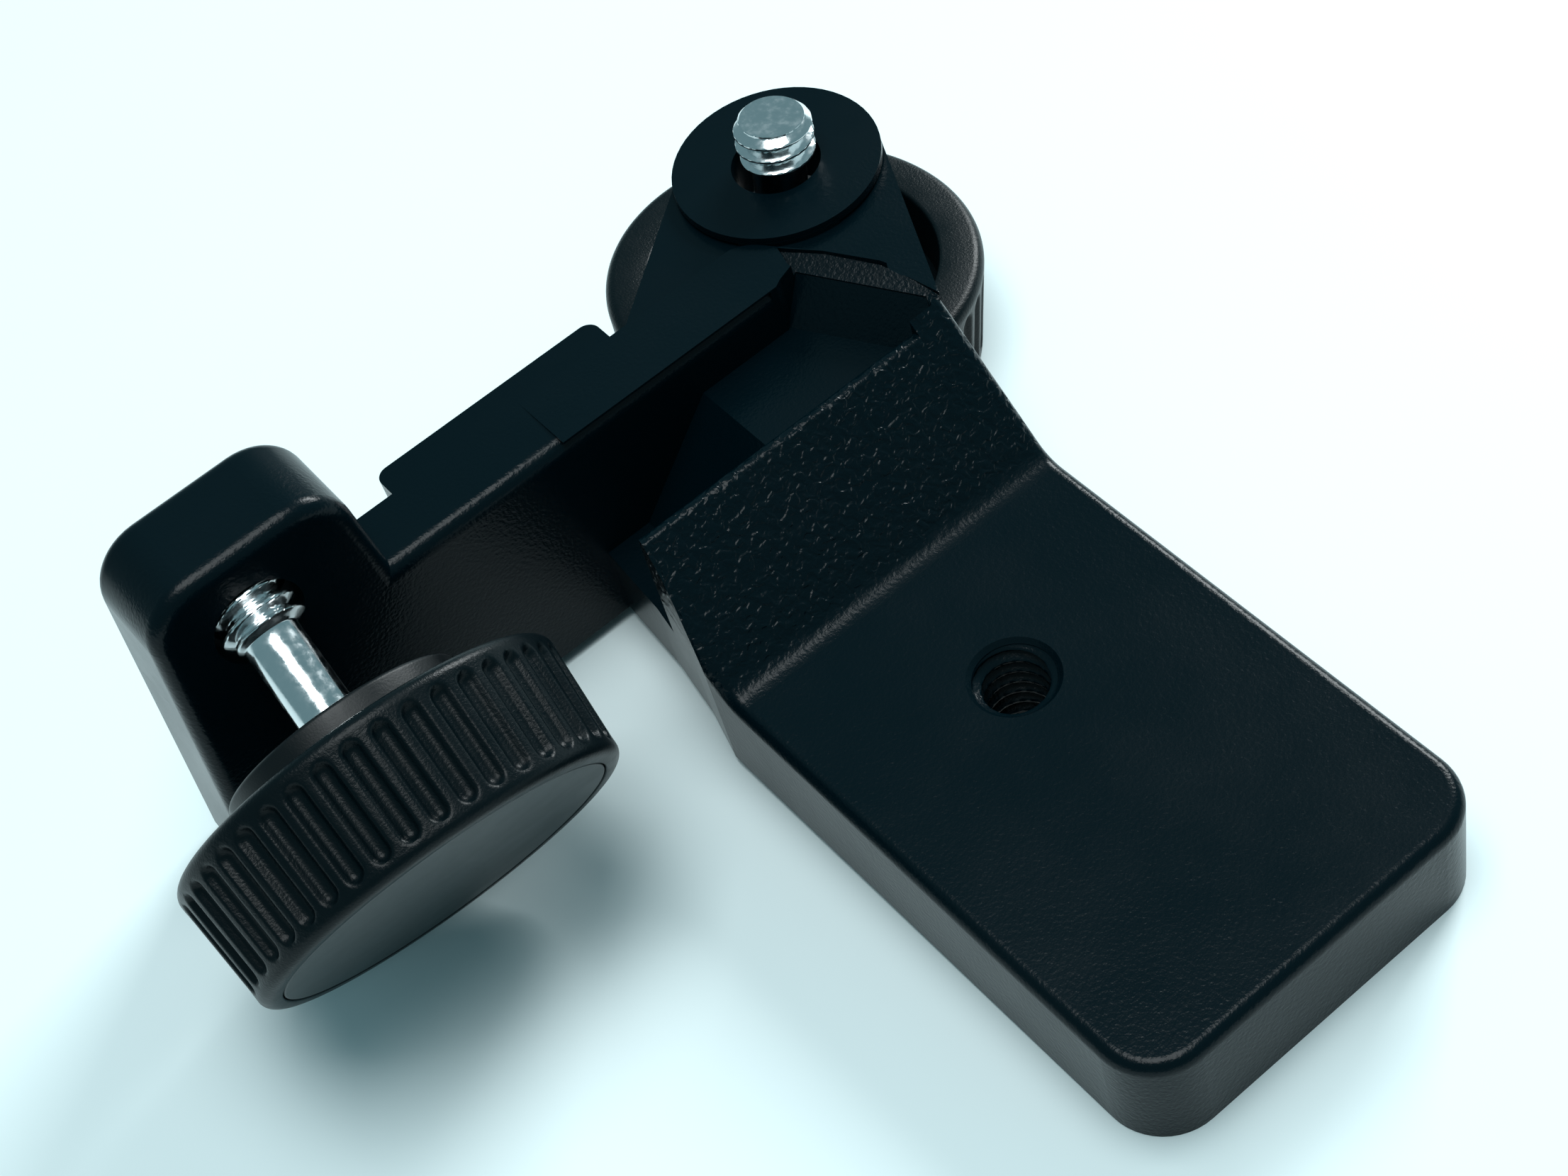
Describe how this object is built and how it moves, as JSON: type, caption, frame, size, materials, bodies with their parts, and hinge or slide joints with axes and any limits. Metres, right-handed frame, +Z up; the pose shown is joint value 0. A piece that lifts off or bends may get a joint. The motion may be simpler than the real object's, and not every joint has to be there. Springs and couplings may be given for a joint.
{
  "type": "accessory bracket with knob screws",
  "caption": "Cast offset bracket with a tapped mounting plate, an upright boss and a round seat, each of the last two holding a fluted knob screw.",
  "frame": {"origin": "on the axis of the plate's tapped hole, at the plate's underside", "axes": "+Z up out of the plate, +Y from the plate towards the riser, arm and neck, -X towards the upright boss"},
  "size_m": [0.086, 0.0906, 0.0333],
  "materials": {
    "black_wrinkle_paint": "fine wrinkle paint, semi-matt",
    "bright_steel": "bright turned and plated",
    "black_knob_plastic": "fine satin moulding grain",
    "black_cap_plastic": "smooth satin",
    "black_collar_plastic": "smooth satin"
  },
  "bodies": {
    "bracket": {"bracket_casting": "black_wrinkle_paint"},
    "rear_slider": {"rear_thrust_collar": "black_collar_plastic"},
    "rear_knob": {"rear_screw": "bright_steel", "rear_knob_body": "black_knob_plastic", "rear_knob_cap": "black_cap_plastic"},
    "front_swing": {"front_thrust_collar": "black_collar_plastic"},
    "front_knob": {"front_screw": "bright_steel", "front_knob_body": "black_knob_plastic", "front_knob_cap": "black_cap_plastic"}
  },
  "joints": [
    {"name": "rear_screw_slide", "type": "slide", "parent": "bracket", "child": "rear_slider", "axis": [0.1097, 0, 0.994], "range_m": [-0.0045, 0.0015]},
    {"name": "rear_knob_spin", "type": "hinge", "parent": "rear_slider", "child": "rear_knob", "pos_m": [0.01386, 0.04415, 0.00005], "axis": [0.1097, 0, 0.994], "continuous": true},
    {"name": "front_screw_droop", "type": "hinge", "parent": "bracket", "child": "front_swing", "pos_m": [-0.0392, 0.0344, 0.0241], "axis": [1, 0, 0], "range_deg": [-27, 0]},
    {"name": "front_knob_spin", "type": "hinge", "parent": "front_swing", "child": "front_knob", "pos_m": [-0.0403, 0.0134, 0.01345], "axis": [0.047, 0.8878, 0.4579], "continuous": true}
  ]
}
